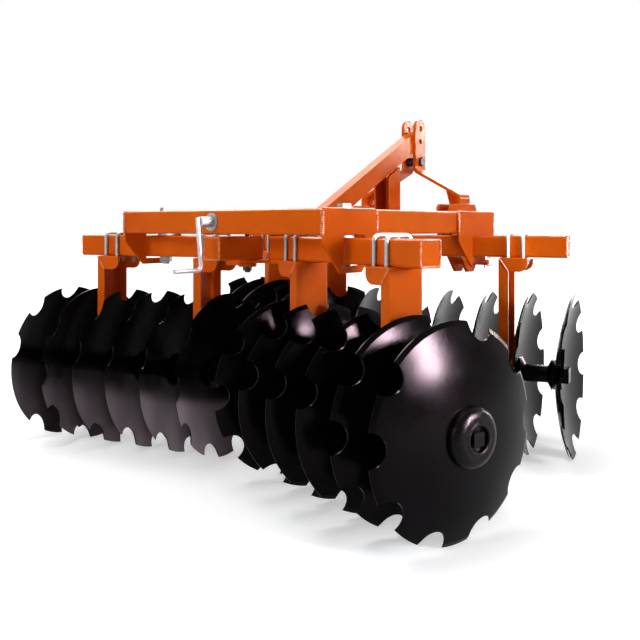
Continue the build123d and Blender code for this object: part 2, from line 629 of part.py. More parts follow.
def mast_bar(drilled_gusset):
    """Right flat bar of the mast with the gusset under its spread."""
    inner = BRACE_WIDTH / 2
    mid_top = inner + MAST_BAR_THICK / 2
    top = TOP_HOLE_Z + MAST_BAR_WIDTH / 2
    line = FilletPolyline(
        (mid_top, top), (mid_top, MAST_BEND_Z), (MAST_SPREAD_X, MAST_SPREAD_Z), (MAST_SPREAD_X, HITCH_TOP),
        radius=MAST_BEND_RADIUS)
    strip = trace(line, MAST_BAR_THICK)
    bar = extrude(Plane.XZ.offset(-MAST_Y) * strip, amount=MAST_BAR_WIDTH / 2, both=True)
    head = Pos(0, MAST_Y, TOP_HOLE_Z) * Box(4 * mid_top, MAST_BAR_WIDTH, MAST_BAR_WIDTH)
    round_head = Pos(0, MAST_Y, TOP_HOLE_Z) * round_bar(MAST_BAR_WIDTH / 2, 0, 2 * mid_top)
    below = Pos(mid_top, MAST_Y, TOP_HOLE_Z - MAST_BAR_WIDTH / 2)
    bar -= head - round_head - below * Box(2 * mid_top, MAST_BAR_WIDTH, MAST_BAR_WIDTH)
    holes = (
        (TOP_HOLE_Z, TOP_HOLE_RADIUS),
        (LOW_HOLE_Z, LOW_HOLE_RADIUS),
        (SPACER_Z, SPACER_BOLT_RADIUS),
    )
    for z, radius in holes:
        bar -= Pos(0, MAST_Y, z) * round_bar(radius, 0, 2 * mid_top)
    fall = (MAST_BEND_Z - MAST_SPREAD_Z) / (MAST_SPREAD_X - mid_top)
    tip_z = MAST_SPREAD_Z + (MAST_SPREAD_X - GUSSET_TIP_X) * fall
    outline = [
        (GUSSET_FOOT_X, HITCH_TOP), (MAST_SPREAD_X, HITCH_TOP),
        (MAST_SPREAD_X, MAST_SPREAD_Z), (GUSSET_TIP_X, tip_z)]
    sheet = make_face(Polyline(*outline, close=True))
    gusset = extrude(Plane.XZ.offset(-MAST_Y) * sheet, amount=GUSSET_THICK / 2, both=True)
    if drilled_gusset:
        hole = Pos((GUSSET_FOOT_X + MAST_SPREAD_X) / 2, MAST_Y, (HITCH_TOP + MAST_SPREAD_Z) / 2)
        gusset -= hole * Rot(90, 0, 0) * Cylinder(GUSSET_HOLE_RADIUS, 4 * GUSSET_THICK)
    return bar + gusset


def mast_spacer():
    """Spacer tube between the mast's bars, with its bolt and nut."""
    inner = BRACE_WIDTH / 2
    outer = inner + MAST_BAR_THICK
    bolt = round_bar(SPACER_BOLT_RADIUS - RUNNING_GAP / 2, -outer, outer)
    bolt += round_bar(SPACER_RADIUS, -inner, inner)
    for side in (-1, 1):
        low = outer if side > 0 else -outer - SPACER_NUT_THICK
        bolt += Rot(0, 90, 0) * hexagon(SPACER_NUT, low, low + SPACER_NUT_THICK)
    return Pos(0, MAST_Y, SPACER_Z) * bolt


def brace_z(y):
    """Height of the brace's top edge above a place along the machine."""
    return BRACE_FRONT_TOP - BRACE_SLOPE * (BRACE_FRONT_Y - y)


def brace_drop():
    """Height of the brace's section in a vertical cut."""
    return BRACE_DEPTH * sqrt(1 + BRACE_SLOPE ** 2)


def mast_brace():
    """Sloping brace of rectangular tube, open in front and cut level where it stands on the beam."""
    drop = brace_drop()
    heel = BRACE_FRONT_Y - (BRACE_FRONT_TOP - FRAME_TOP) / BRACE_SLOPE
    toe = heel + drop / BRACE_SLOPE
    outline = [
        (heel, FRAME_TOP), (BRACE_FRONT_Y, BRACE_FRONT_TOP),
        (BRACE_FRONT_Y, BRACE_FRONT_TOP - drop), (toe, FRAME_TOP)]
    outside = make_face(Polyline(*outline, close=True))
    top_wall = BRACE_WALL * drop / BRACE_DEPTH
    back = heel - BRACE_DEPTH
    front = BRACE_FRONT_Y + BRACE_DEPTH
    bore = [
        (back, brace_z(back) - top_wall), (front, brace_z(front) - top_wall),
        (front, brace_z(front) - drop + top_wall), (back, brace_z(back) - drop + top_wall)]
    inside = make_face(Polyline(*bore, close=True))
    brace = extrude(Plane.YZ * outside, amount=BRACE_WIDTH / 2, both=True)
    return brace - extrude(Plane.YZ * inside, amount=BRACE_WIDTH / 2 - BRACE_WALL, both=True)


def mast_post():
    """Upright channel between the front beam and the brace, open to the rear."""
    high = brace_z(FRAME_HALF_LENGTH)
    post = Pos(0, BEAM_Y, (FRAME_TOP + high) / 2) * Box(TUBE, TUBE, high - FRAME_TOP)
    inside = TUBE - 2 * POST_WALL
    post -= Pos(0, BEAM_Y - POST_WALL, (FRAME_TOP + high) / 2) * Box(inside, TUBE, high - FRAME_TOP)
    low_edge = [(y, brace_z(y) - brace_drop()) for y in (RAIL_END - TUBE, FRAME_HALF_LENGTH + TUBE)]
    above = [*low_edge, (low_edge[1][0], 2 * high), (low_edge[0][0], 2 * high)]
    return post - extrude(Plane.YZ * make_face(Polyline(*above, close=True)), amount=TUBE, both=True)


def hitch_plates():
    """Right pair of hitch plates on the front beam, with the cap that carries the mast's foot."""
    back = FRAME_HALF_LENGTH
    front = MAST_Y + HITCH_NOSE
    nose = HITCH_PIN_Z - HITCH_NOSE_RADIUS
    outline = [
        (back, HITCH_TOP - HITCH_HEEL_CHAMFER), (back + HITCH_HEEL_CHAMFER, HITCH_TOP),
        (front - HITCH_CHAMFER, HITCH_TOP), (front, HITCH_TOP - 2 * HITCH_CHAMFER),
        (MAST_Y + HITCH_NOSE_RADIUS, HITCH_PIN_Z + HITCH_NOSE_RADIUS),
        (MAST_Y + HITCH_NOSE_RADIUS, nose + HITCH_CHAMFER),
        (MAST_Y + HITCH_CHAMFER, nose), (MAST_Y - HITCH_CHAMFER, nose),
        (MAST_Y - HITCH_NOSE_RADIUS, nose + HITCH_CHAMFER), (back, FRAME_BOTTOM),
    ]
    face = make_face(Polyline(*outline, close=True))
    pair = []
    for x in HITCH_PLATE_X:
        plate = extrude(Plane.YZ.offset(x - HITCH_PLATE_THICK / 2) * face, amount=HITCH_PLATE_THICK)
        pair.append(plate - Pos(x, MAST_Y, HITCH_PIN_Z) * round_bar(HITCH_PIN / 2 + PIVOT_FIT, -TUBE, TUBE))
    spread = HITCH_PLATE_X[1] - HITCH_PLATE_X[0]
    cap = Box(spread, MAST_BAR_WIDTH, HITCH_PLATE_THICK)
    return pair[0] + pair[1] + Pos(HITCH_MID_X, MAST_Y, HITCH_TOP - HITCH_PLATE_THICK / 2) * cap


def hitch_pin():
    """Right lower hitch pin, collared on both sides of the plates, with a linchpin hole near its end."""
    inner = HITCH_PLATE_X[0] - HITCH_PLATE_THICK / 2
    outer = HITCH_PLATE_X[1] + HITCH_PLATE_THICK / 2
    pin = round_bar(HITCH_PIN / 2, inner - HITCH_COLLAR_THICK, HITCH_PIN_END)
    pin += round_bar(HITCH_COLLAR_RADIUS, inner - HITCH_COLLAR_THICK, inner)
    pin += round_bar(HITCH_COLLAR_RADIUS, outer, outer + HITCH_COLLAR_THICK)
    pin -= Pos(HITCH_PIN_END - LINCHPIN_INSET, 0) * upright_bar(LINCHPIN_HOLE / 2, -HITCH_PIN, HITCH_PIN)
    return Pos(0, MAST_Y, HITCH_PIN_Z) * pin


def both_sides(piece):
    """A right-hand piece and its mirror image, as one node's solids."""
    return Compound(children=[*piece.solids(), *on_side("left", piece).solids()])


# Nodes

save("rear_beam", cross_beam(-1))
save("front_beam", cross_beam(1))
save("centre_beam", centre_beam())
save("centre_pad", centre_pad())
save("pivot_pins", both_sides(pivot_pin()))
save("slider_tube", slider_tube())
save("slider_pin", slider_pin())
save("lead_screw", lead_screw())
save("crank", crank())
save("mast_spacer", mast_spacer())
save("mast_brace", mast_brace())
save("mast_post", mast_post())
save("hitch_pins", both_sides(hitch_pin()))
save("front_u_bolts", both_sides(at_shanks(FRONT, u_bolt(), U_STATIONS)))
save("front_bearings", both_sides(at_shanks(FRONT, bearing())))

TONGUE_TOPS = {"right": GANG_BOTTOM - TONGUE_GAP, "left": GANG_BOTTOM - 2 * TONGUE_GAP - TONGUE_THICK}
for side in ("left", "right"):
    save(f"side_rail_{side}", on_side(side, side_rail()))
    save(f"front_gang_tube_{side}", on_side(side, front_gang_tube()))
    save(f"rear_gang_tube_{side}", on_side(side, rear_gang_tube(TONGUE_TOPS[side])))
    save(f"rear_u_bolts_{side}", on_side(side, at_shanks(REAR, u_bolt(), U_STATIONS)))
    save(f"rear_bearings_{side}", on_side(side, at_shanks(REAR, bearing())))
    save(f"mast_bar_{side}", on_side(side, mast_bar(side == "left")))
    save(f"hitch_plates_{side}", on_side(side, hitch_plates()))
    for gang in (REAR, FRONT):
        save(f"corner_plate_{gang.name}_{side}", on_side(side, corner_plate(gang)))
        save(f"{gang.name}_shanks_{side}", on_side(side, at_shanks(gang, shank())))
        save(f"{gang.name}_discs_{side}", discs(gang, side))
        save(f"{gang.name}_axle_{side}", on_side(side, axle(gang)))
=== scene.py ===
import json
import math
import random
from typing import NamedTuple

import bmesh
import bpy
from mathutils import Matrix, Vector


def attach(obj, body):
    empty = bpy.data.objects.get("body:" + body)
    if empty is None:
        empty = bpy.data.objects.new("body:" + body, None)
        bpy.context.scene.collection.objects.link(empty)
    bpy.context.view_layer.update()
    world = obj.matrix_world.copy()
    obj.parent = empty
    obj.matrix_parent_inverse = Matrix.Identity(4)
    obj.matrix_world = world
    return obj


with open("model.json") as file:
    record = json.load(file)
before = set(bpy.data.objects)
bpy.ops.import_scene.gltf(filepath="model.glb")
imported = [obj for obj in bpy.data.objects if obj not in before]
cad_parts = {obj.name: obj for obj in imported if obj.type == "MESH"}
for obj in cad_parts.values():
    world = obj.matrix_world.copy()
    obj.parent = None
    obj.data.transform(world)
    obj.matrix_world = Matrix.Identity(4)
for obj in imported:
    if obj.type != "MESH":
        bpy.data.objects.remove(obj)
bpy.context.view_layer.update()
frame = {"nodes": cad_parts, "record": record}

# The studio is in metres and the machine in millimetres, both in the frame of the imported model:
# +Y forward, +X right, +Z up
MM = 0.001

# Camera, at the photograph's place: level, turned to the left of straight ahead
IMAGE = 640
CAMERA_AT = (1.905, -2.1417, 0.7933)
CAMERA_YAW = 39.41
FOCAL_PIXELS = 790.17
CENTRE_PIXEL = (345.03, 226.12)
SENSOR = 36.0
CLIP = (0.05, 60)


def add_camera():
    """The camera, with the photograph's framing in its shift."""
    data = bpy.data.cameras.new("camera")
    data.sensor_width = SENSOR
    data.lens = FOCAL_PIXELS * SENSOR / IMAGE
    data.shift_x = (IMAGE / 2 - CENTRE_PIXEL[0]) / IMAGE
    data.shift_y = (CENTRE_PIXEL[1] - IMAGE / 2) / IMAGE
    data.clip_start, data.clip_end = CLIP
    data.dof.use_dof = False
    camera = bpy.data.objects.new("camera", data)
    camera.location = CAMERA_AT
    camera.rotation_euler = (math.radians(90), 0, math.radians(CAMERA_YAW))
    bpy.context.scene.collection.objects.link(camera)
    bpy.context.scene.camera = camera


# The white panels light the machine. The tinted ones are only there to be mirrored in its gloss.
WHITE = (1.0, 1.0, 1.0)
MAUVE = (1.0, 0.80, 0.91)
CREAM = (1.0, 0.92, 0.80)

# Columns: name, size along x and y in metres, place, point looked at, watts, colour
PANELS = (
    ("overhead", 2.2, 1.8, (-0.5, -0.5, 3.9), (0, 0, 0.3), 78, WHITE),
    ("right", 0.8, 1.0, (4.1, 0.1, 1.35), (0.3, -0.2, 0.5), 77, WHITE),
    ("rear", 1.4, 1.0, (-0.6, -4.6, 2.1), (0, 0, 0.5), 54, WHITE),
    ("left", 1.0, 1.0, (-3.8, 1.2, 1.9), (0, 0, 0.5), 30, WHITE),
    ("front", 1.8, 0.9, (-0.3, 4.6, 1.1), (0, 0, 0.4), 48, WHITE),
    ("right_gloss", 0.6, 1.15, (4.1, 0.25, 1.55), (0.9, -0.4, 0.35), 1200, MAUVE),
    ("ahead_gloss", 2.4, 0.9, (0.1, 4.2, 0.55), (-0.4, -0.4, 0.25), 60, MAUVE),
    ("high_gloss", 2.4, 1.8, (-0.9, 3.5, 3.0), (0.1, 0.3, 0.9), 260, CREAM),
    ("edge_gloss", 1.1, 1.1, (-2.1, 0.3, 3.0), (0, -0.3, 0.8), 200, CREAM),
    ("low_gloss", 1.0, 0.15, (-0.5, -0.12, 0.09), (-0.5, -1.0, 0.09), 1.6, MAUVE),
    ("mast_gloss", 0.3, 0.4, (2.25, 4.05, 1.68), (0.05, 0.63, 1.18), 70, CREAM),
    ("brace_gloss", 1.2, 0.7, (-1.84, 1.71, 2.95), (0.0, 0.3, 1.05), 20, CREAM),
)


def add_lights():
    """Every panel, none of which the camera sees."""
    for name, wide, high, place, look, watts, colour in PANELS:
        data = bpy.data.lights.new(name, "AREA")
        data.shape = "RECTANGLE"
        data.size = wide
        data.size_y = high
        data.energy = watts
        data.color = colour
        lamp = bpy.data.objects.new(name, data)
        lamp.location = place
        lamp.visible_camera = False
        lamp.visible_diffuse = colour == WHITE
        lamp.rotation_euler = (Vector(look) - Vector(place)).to_track_quat("-Z", "Y").to_euler()
        bpy.context.scene.collection.objects.link(lamp)


def nodes_of(material):
    """A fresh node tree with its shader and output."""
    material.use_nodes = True
    tree = material.node_tree
    tree.nodes.clear()
    output = tree.nodes.new("ShaderNodeOutputMaterial")
    shader = tree.nodes.new("ShaderNodeBsdfPrincipled")
    tree.links.new(shader.outputs["BSDF"], output.inputs["Surface"])
    return tree, shader, output


def combined(tree, operation, first, second):
    """Two values put together by one of Blender's math operations."""
    node = tree.nodes.new("ShaderNodeMath")
    node.operation = operation
    tree.links.new(first, node.inputs[0])
    tree.links.new(second, node.inputs[1])
    return node.outputs[0]


def spread(tree, value, low, high, from_low=0.3, from_high=0.7):
    """A value stretched from one range to another. The range that it comes in is noise's, if not given."""
    node = tree.nodes.new("ShaderNodeMapRange")
    node.inputs["From Min"].default_value = from_low
    node.inputs["From Max"].default_value = from_high
    node.inputs["To Min"].default_value = low
    node.inputs["To Max"].default_value = high
    tree.links.new(value, node.inputs["Value"])
    return node.outputs["Result"]


def seen_or_mirrored(tree, path):
    """1 for what the camera sees, straight or in metal and glass, and 0 for light that falls on things."""
    either = combined(tree, "MAXIMUM", path.outputs["Is Camera Ray"], path.outputs["Is Glossy Ray"])
    return combined(tree, "MAXIMUM", either, path.outputs["Is Transmission Ray"])


AMBIENT_COLOUR = (0.95, 0.97, 1.0, 1)
AMBIENT_LIGHT = 0.27
# A white backdrop stands behind the machine, this way from it, and the rest of the room is dimmer when it is
# mirrored. The light rises from the first to the second value as a direction leans towards the backdrop,
# with the lean from -1 for straight away from it to 1 for straight at it.
BACKDROP_WAY = (-0.62, 0.76, 0.2)
MIRRORED_LIGHT = (0.50, 1.0)
MIRRORED_LEAN = (-0.25, 0.45)


def add_world():
    """Pale even surroundings with the backdrop in them, which the camera sees as plain white."""
    world = bpy.data.worlds.new("studio")
    bpy.context.scene.world = world
    world.use_nodes = True
    tree = world.node_tree
    tree.nodes.clear()
    output = tree.nodes.new("ShaderNodeOutputWorld")
    ambient = tree.nodes.new("ShaderNodeBackground")
    ambient.inputs["Color"].default_value = AMBIENT_COLOUR
    ambient.inputs["Strength"].default_value = AMBIENT_LIGHT
    white = tree.nodes.new("ShaderNodeBackground")
    white.inputs["Color"].default_value = (*WHITE, 1)
    way = tree.nodes.new("ShaderNodeTexCoord")
    lean = tree.nodes.new("ShaderNodeVectorMath")
    lean.operation = "DOT_PRODUCT"
    lean.inputs[1].default_value = BACKDROP_WAY
    tree.links.new(way.outputs["Generated"], lean.inputs[0])
    path = tree.nodes.new("ShaderNodeLightPath")
    mirrored = spread(tree, lean.outputs["Value"], *MIRRORED_LIGHT, *MIRRORED_LEAN)
    shown = combined(tree, "MAXIMUM", mirrored, path.outputs["Is Camera Ray"])
    tree.links.new(shown, white.inputs["Strength"])
    mix = tree.nodes.new("ShaderNodeMixShader")
    tree.links.new(seen_or_mirrored(tree, path), mix.inputs["Fac"])
    tree.links.new(ambient.outputs[0], mix.inputs[1])
    tree.links.new(white.outputs[0], mix.inputs[2])
    tree.links.new(mix.outputs[0], output.inputs["Surface"])


FLOOR_HALF = 30.0
FLOOR_COLOUR = (0.90, 0.91, 0.92, 1)
# The floor's own glow and the distances from the machine's middle between which it rises. It is weak near
# the machine, where it would wash out the shadows.
FLOOR_GLOW = (0.36, 1.0)
FLOOR_GLOW_DISTANCE = (0.9, 3.2)


def add_floor():
    """A wide pale floor under the discs that runs into the white backdrop."""
    mesh = bpy.data.meshes.new("floor")
    corners = [(x * FLOOR_HALF, y * FLOOR_HALF, 0) for x, y in ((-1, -1), (1, -1), (1, 1), (-1, 1))]
    mesh.from_pydata(corners, [], [(0, 1, 2, 3)])
    floor = bpy.data.objects.new("floor", mesh)
    bpy.context.scene.collection.objects.link(floor)
    material = bpy.data.materials.new("floor")
    tree, shader, output = nodes_of(material)
    shader.inputs["Base Color"].default_value = FLOOR_COLOUR
    shader.inputs["Roughness"].default_value = 0.8
    shader.inputs["Specular IOR Level"].default_value = 0.1
    place = tree.nodes.new("ShaderNodeTexCoord")
    distance = tree.nodes.new("ShaderNodeVectorMath")
    distance.operation = "LENGTH"
    tree.links.new(place.outputs["Object"], distance.inputs[0])
    lift = spread(tree, distance.outputs["Value"], *FLOOR_GLOW, *FLOOR_GLOW_DISTANCE)
    path = tree.nodes.new("ShaderNodeLightPath")
    glow = tree.nodes.new("ShaderNodeEmission")
    tree.links.new(combined(tree, "MULTIPLY", lift, seen_or_mirrored(tree, path)), glow.inputs["Strength"])
    sum_of_both = tree.nodes.new("ShaderNodeAddShader")
    tree.links.new(shader.outputs["BSDF"], sum_of_both.inputs[0])
    tree.links.new(glow.outputs[0], sum_of_both.inputs[1])
    tree.links.new(sum_of_both.outputs[0], output.inputs["Surface"])
    mesh.materials.append(material)


def noise(tree, scale, detail):
    """Noise in object coordinates."""
    place = tree.nodes.new("ShaderNodeTexCoord")
    node = tree.nodes.new("ShaderNodeTexNoise")
    node.inputs["Scale"].default_value = scale
    node.inputs["Detail"].default_value = detail
    tree.links.new(place.outputs["Object"], node.inputs["Vector"])
    return node.outputs["Fac"]


def ramp(tree, value, stops):
    """Colours along a value, from (position, colour) pairs."""
    node = tree.nodes.new("ShaderNodeValToRGB")
    tree.links.new(value, node.inputs["Fac"])
    while len(node.color_ramp.elements) < len(stops):
        node.color_ramp.elements.new(0.5)
    for element, (position, colour) in zip(node.color_ramp.elements, stops):
        element.position = position
        element.color = (*colour, 1)
    return node.outputs["Color"]


def mottled(name, stops, colour_noise, rough, rough_noise, relief, relief_noise):
    """A material whose colour, roughness and relief each follow a noise, given as its scale and detail.

    The colour runs through stops, the roughness between two values, and the relief is a bump's depth in
    metres and its strength. Returns the material with its tree, shader and bump.
    """
    material = bpy.data.materials.new(name)
    tree, shader, _ = nodes_of(material)
    tree.links.new(ramp(tree, noise(tree, *colour_noise), stops), shader.inputs["Base Color"])
    tree.links.new(spread(tree, noise(tree, *rough_noise), *rough), shader.inputs["Roughness"])
    bump = tree.nodes.new("ShaderNodeBump")
    bump.inputs["Distance"].default_value, bump.inputs["Strength"].default_value = relief
    tree.links.new(noise(tree, *relief_noise), bump.inputs["Height"])
    tree.links.new(bump.outputs["Normal"], shader.inputs["Normal"])
    return material, tree, shader, bump


# Radius in metres to which the shader softens the edges of painted steel
EDGE_RADIUS = 0.0016


def orange_paint():
    """Gloss orange enamel, a little uneven in colour, with a sprayed skin and soft edges."""
    material, tree, shader, bump = mottled(
        "orange_enamel",
        stops=((0.30, (0.60, 0.088, 0.0034)), (0.50, (0.68, 0.106, 0.0042)), (0.72, (0.74, 0.123, 0.0055))),
        colour_noise=(5.0, 4.0),
        rough=(0.14, 0.24), rough_noise=(24.0, 4.0),
        relief=(0.0004, 0.25), relief_noise=(420.0, 2.0))
    shader.inputs["Specular IOR Level"].default_value = 0.035
    edge = tree.nodes.new("ShaderNodeBevel")
    edge.samples = 4
    edge.inputs["Radius"].default_value = EDGE_RADIUS
    tree.links.new(edge.outputs["Normal"], bump.inputs["Normal"])
    return material


def weld_paint_with_painted_highlight():
    """The orange enamel over rippled weld, thicker and glossier there, and with a painted highlight: its
    colour runs up to a brighter orange than the enamel's own, standing in for glints on the ripples.
    """
    material, _, shader, _ = mottled(
        "weld_with_painted_highlight",
        # The lighter stop is a painted highlight, brighter than the enamel's own orange.
        stops=((0.35, (0.64, 0.11, 0.008)), (0.65, (0.86, 0.24, 0.06))),
        colour_noise=(90.0, 3.0),
        rough=(0.16, 0.30), rough_noise=(140.0, 2.0),
        relief=(0.0015, 0.7), relief_noise=(240.0, 3.0))
    shader.inputs["Specular IOR Level"].default_value = 0.40
    return material


# Black paint mirrors white a little mauve
BLACK_GLOSS_TINT = (1.0, 0.86, 0.91, 1)


def black_enamel():
    """Gloss black enamel of the discs, with a fine skin and soft cloudiness in its gloss."""
    material, _, shader, _ = mottled(
        "black_enamel",
        stops=((0.35, (0.0008, 0.0008, 0.0010)), (0.70, (0.0025, 0.0020, 0.0027))),
        colour_noise=(9.0, 5.0),
        rough=(0.15, 0.22), rough_noise=(14.0, 5.0),
        relief=(0.0006, 0.35), relief_noise=(300.0, 3.0))
    shader.inputs["Specular IOR Level"].default_value = 0.04
    shader.inputs["Specular Tint"].default_value = BLACK_GLOSS_TINT
    return material


def black_casting():
    """Black paint over rough cast iron."""
    material, _, shader, _ = mottled(
        "black_casting",
        stops=((0.35, (0.0015, 0.0015, 0.002)), (0.70, (0.005, 0.0045, 0.005))),
        colour_noise=(40.0, 4.0),
        rough=(0.18, 0.28), rough_noise=(60.0, 3.0),
        relief=(0.0012, 0.6), relief_noise=(260.0, 4.0))
    shader.inputs["Specular IOR Level"].default_value = 0.07
    shader.inputs["Specular Tint"].default_value = BLACK_GLOSS_TINT
    return material


# Darker patches of plated metal, as a share of its tint
PLATE_PATCH = 0.82


def plated(name, tint, rough):
    """Zinc plate or steel: metal with a faintly mottled polish."""
    dark = tuple(PLATE_PATCH * part for part in tint)
    material, _, shader, _ = mottled(
        name,
        stops=((0.35, dark), (0.65, tint)),
        colour_noise=(70.0, 4.0),
        rough=rough, rough_noise=(120.0, 3.0),
        relief=(0.0002, 0.3), relief_noise=(600.0, 2.0))
    shader.inputs["Metallic"].default_value = 1.0
    return material


MATERIALS = {
    "orange": orange_paint(),
    "disc_black": black_enamel(),
    "casting_black": black_casting(),
    "zinc": plated("zinc_plate", (0.40, 0.41, 0.43), (0.48, 0.62)),
    "bright_steel": plated("bright_plate", (0.52, 0.51, 0.52), (0.32, 0.44)),
    "dark_steel": plated("dark_steel", (0.06, 0.057, 0.06), (0.40, 0.55)),
}
# Weld enamel whose colour is painted lighter than the orange, as a painted highlight on the beads.
WELD_PAINT_WITH_PAINTED_HIGHLIGHT = weld_paint_with_painted_highlight()

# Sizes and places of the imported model, in millimetres
TUBE = 76.2
HALF_TUBE = TUBE / 2
TUBE_CORNER = 9.0
FRAME_HALF_LENGTH = 484.0
FRAME_HALF_WIDTH = 457.0
FRAME_TOP = 844.0
FRAME_BOTTOM = FRAME_TOP - TUBE
PLATE_THICK = 8.0
PLATE_OUTER = FRAME_HALF_WIDTH + PLATE_THICK
PLATE_INNER_Y = 237.0
RAIL_X = FRAME_HALF_WIDTH - HALF_TUBE
RAIL_END = FRAME_HALF_LENGTH - TUBE
GANG_TOP = 760.0
GANG_BOTTOM = GANG_TOP - TUBE
GANG_Z = GANG_TOP - HALF_TUBE
HUB_Z = 279.4
AXLE_TRAIL = 8.0
DISC_PITCH = 146.0
SHANK_HALF_WIDTH = 60.0
SHANK_DEPTH = 35.0
SHANK_WALL = 6.35
ARM_HEIGHT = 49.0
WEB_FROM_DISC = 49.0
U_STATIONS = (30.0, 82.6)
U_LEG_Y = 44.3
U_TAIL = 24.0
MAST_Y = 634.0
MAST_BAR_HALF = 36.5
MAST_BAR_THICK = 12.7
BRACE_HALF_WIDTH = 23.0
BRACE_DEPTH = 70.0
BRACE_SLOPE = 0.57
BRACE_DROP = BRACE_DEPTH * math.sqrt(1 + BRACE_SLOPE ** 2)
BRACE_TOP = 1190.0
BRACE_GAP = 16.0
BRACE_FRONT_Y = MAST_Y - BRACE_GAP
HITCH_TOP = 880.0
HITCH_PLATES = (218.0, 272.0)
HITCH_PLATE_HALF = 6.35
HITCH_PIN_Z = 650.0
HITCH_PIN_RADIUS = 11.1
LINCHPIN_X = 344.0
SLIDER_FRONT_Y = -297.0


class Gang(NamedTuple):
    """A gang on the right side, in its own axes: x outward along the beam, y ahead, z up.

    way: end of the machine that it is at, 1 for the front and -1 for the rear
    angle: degrees by which its outer end is turned towards that end
    origin: where its axes start, in the machine's x and y
    reach: place of the outermost disc
    bulge: side to which the discs bulge, 1 for outward
    shank_discs: discs beside shanks, counted inward from 0 for the outermost
    beam_ends: ends of the beam that show their caps
    """
    way: int
    angle: float
    origin: tuple
    reach: float
    bulge: int
    shank_discs: tuple
    beam_ends: tuple


GANGS = {
    "rear": Gang(-1, 13.0, (RAIL_X, -337.0), 517.0, 1, (2, 5), (-347.81, 367.0)),
    "front": Gang(1, 16.5, (0.0, 228.2), 766.22, -1, (1, 4), (799.22,)),
}
SIDES = {"left": -1, "right": 1}


def gang_point(end, side, x, y, z):
    """A place in a gang's own axes, as a place in the machine's."""
    gang = GANGS[end]
    lean = math.radians(gang.angle)
    out = Vector((math.cos(lean), gang.way * math.sin(lean), 0))
    ahead = Vector((-gang.way * math.sin(lean), math.cos(lean), 0))
    place = Vector((*gang.origin, 0)) + out * x + ahead * y + Vector((0, 0, z))
    return Vector((SIDES[side] * place.x, place.y, place.z))


def gang_body(end, side):
    """Body that carries a gang's beam and shanks."""
    return f"rear_gang_{side}" if end == "rear" else "frame"


def shank_faces(gang):
    """Where a gang's shanks have the outer faces of their webs, along the beam."""
    return [gang.reach - disc * DISC_PITCH + gang.bulge * WEB_FROM_DISC for disc in gang.shank_discs]


def new_piece(name, body, slot, mesh, material=None):
    """A mesh as a piece that rides on a body, with its slot's material or one of its own."""
    piece = bpy.data.objects.new(name, mesh)
    bpy.context.scene.collection.objects.link(piece)
    mesh.materials.append(material or MATERIALS[slot])
    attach(piece, body)


def mesh_of(bm, name, smooth_angle=35.0):
    """A mesh in metres from one in millimetres, shaded smooth but for its sharp edges."""
    bmesh.ops.transform(bm, matrix=Matrix.Scale(MM, 4), verts=bm.verts)
    bmesh.ops.recalc_face_normals(bm, faces=bm.faces)
    limit = math.radians(smooth_angle)
    for face in bm.faces:
        face.smooth = True
    for edge in bm.edges:
        edge.smooth = len(edge.link_faces) == 2 and edge.calc_face_angle(0.0) < limit
    mesh = bpy.data.meshes.new(name)
    bm.to_mesh(mesh)
    bm.free()
    return mesh


def along(direction):
    """Turn that takes +z to a direction."""
    return Vector(direction).to_track_quat("Z", "Y").to_matrix()


def skin(bm, rings, closed=False):
    """Quads over rings of points, with both ends closed unless the rings run round."""
    verts = [[bm.verts.new(point) for point in points] for points in rings]
    count = len(verts[0])
    pairs = list(zip(verts, verts[1:]))
    if closed:
        pairs.append((verts[-1], verts[0]))
    for low, high in pairs:
        for n in range(count):
            m = (n + 1) % count
            bm.faces.new((low[n], low[m], high[m], high[n]))
    if not closed:
        bm.faces.new(reversed(verts[0]))
        bm.faces.new(verts[-1])


def ring(centre, turn, radius, count):
    """Points of a circle about a place, in the plane that a turn takes xy to."""
    steps = (2 * math.pi * n / count for n in range(count))
    return [centre + turn @ Vector((radius * math.cos(a), radius * math.sin(a), 0)) for a in steps]


def lathe(bm, foot, profile, count):
    """Upright solid of rings over a place, from (height, radius) pairs."""
    turn = along((0, 0, 1))
    skin(bm, [ring(foot + Vector((0, 0, height)), turn, radius, count) for height, radius in profile])


# Weld beads. Their radii are what the ripples vary about, and the seeds make each piece's ripples its own.
FRAME_BEAD = 6.5
FINE_BEAD = 2.6
GANG_BEAD = 3.6
BEAD_PITCH = 6.0
BEAD_SIDES = 8
BEAD_SMOOTH_ANGLE = 80
BEAD_UNEVENNESS = 0.13
BEAD_END = 0.55
# One ripple. Columns: place along the bead as a share of the pitch, share of the radius
RIPPLE = ((-0.28, 0.97), (0.12, 1.08), (0.30, 0.80))
# How far beads stay inside the outer faces, or stop short of the end of their seam
CORNER_INSET = 4.0
PLATE_INSET = 2.0
PLATE_SHORT = 3.0
INNER_SHORT = 6.0
HITCH_SHORT = 2.0
BRACE_SHORT = 4.0
CAP_INSET = 3.2
MITRE_INSET = 3.0
CAP_CORNER_STEPS = 3


def lay_bead(bm, line, radius, dice):
    """A rippled bead of weld along a line of points."""
    points = []
    for a, b in zip(line, line[1:]):
        steps = max(2, round((b - a).length / BEAD_PITCH))
        points += [a.lerp(b, n / steps) for n in range(steps)]
    points.append(line[-1])
    rings = []
    for number, point in enumerate(points):
        before = points[max(number - 1, 0)]
        after = points[min(number + 1, len(points) - 1)]
        way = (after - before).normalized()
        turn = along(way)
        swell = 1 + BEAD_UNEVENNESS * dice.uniform(-1, 1)
        end = BEAD_END if number in (0, len(points) - 1) else 1.0
        for part, share in RIPPLE:
            place = point + way * part * BEAD_PITCH
            rings.append(ring(place, turn, radius * share * swell * end, BEAD_SIDES))
    skin(bm, rings)


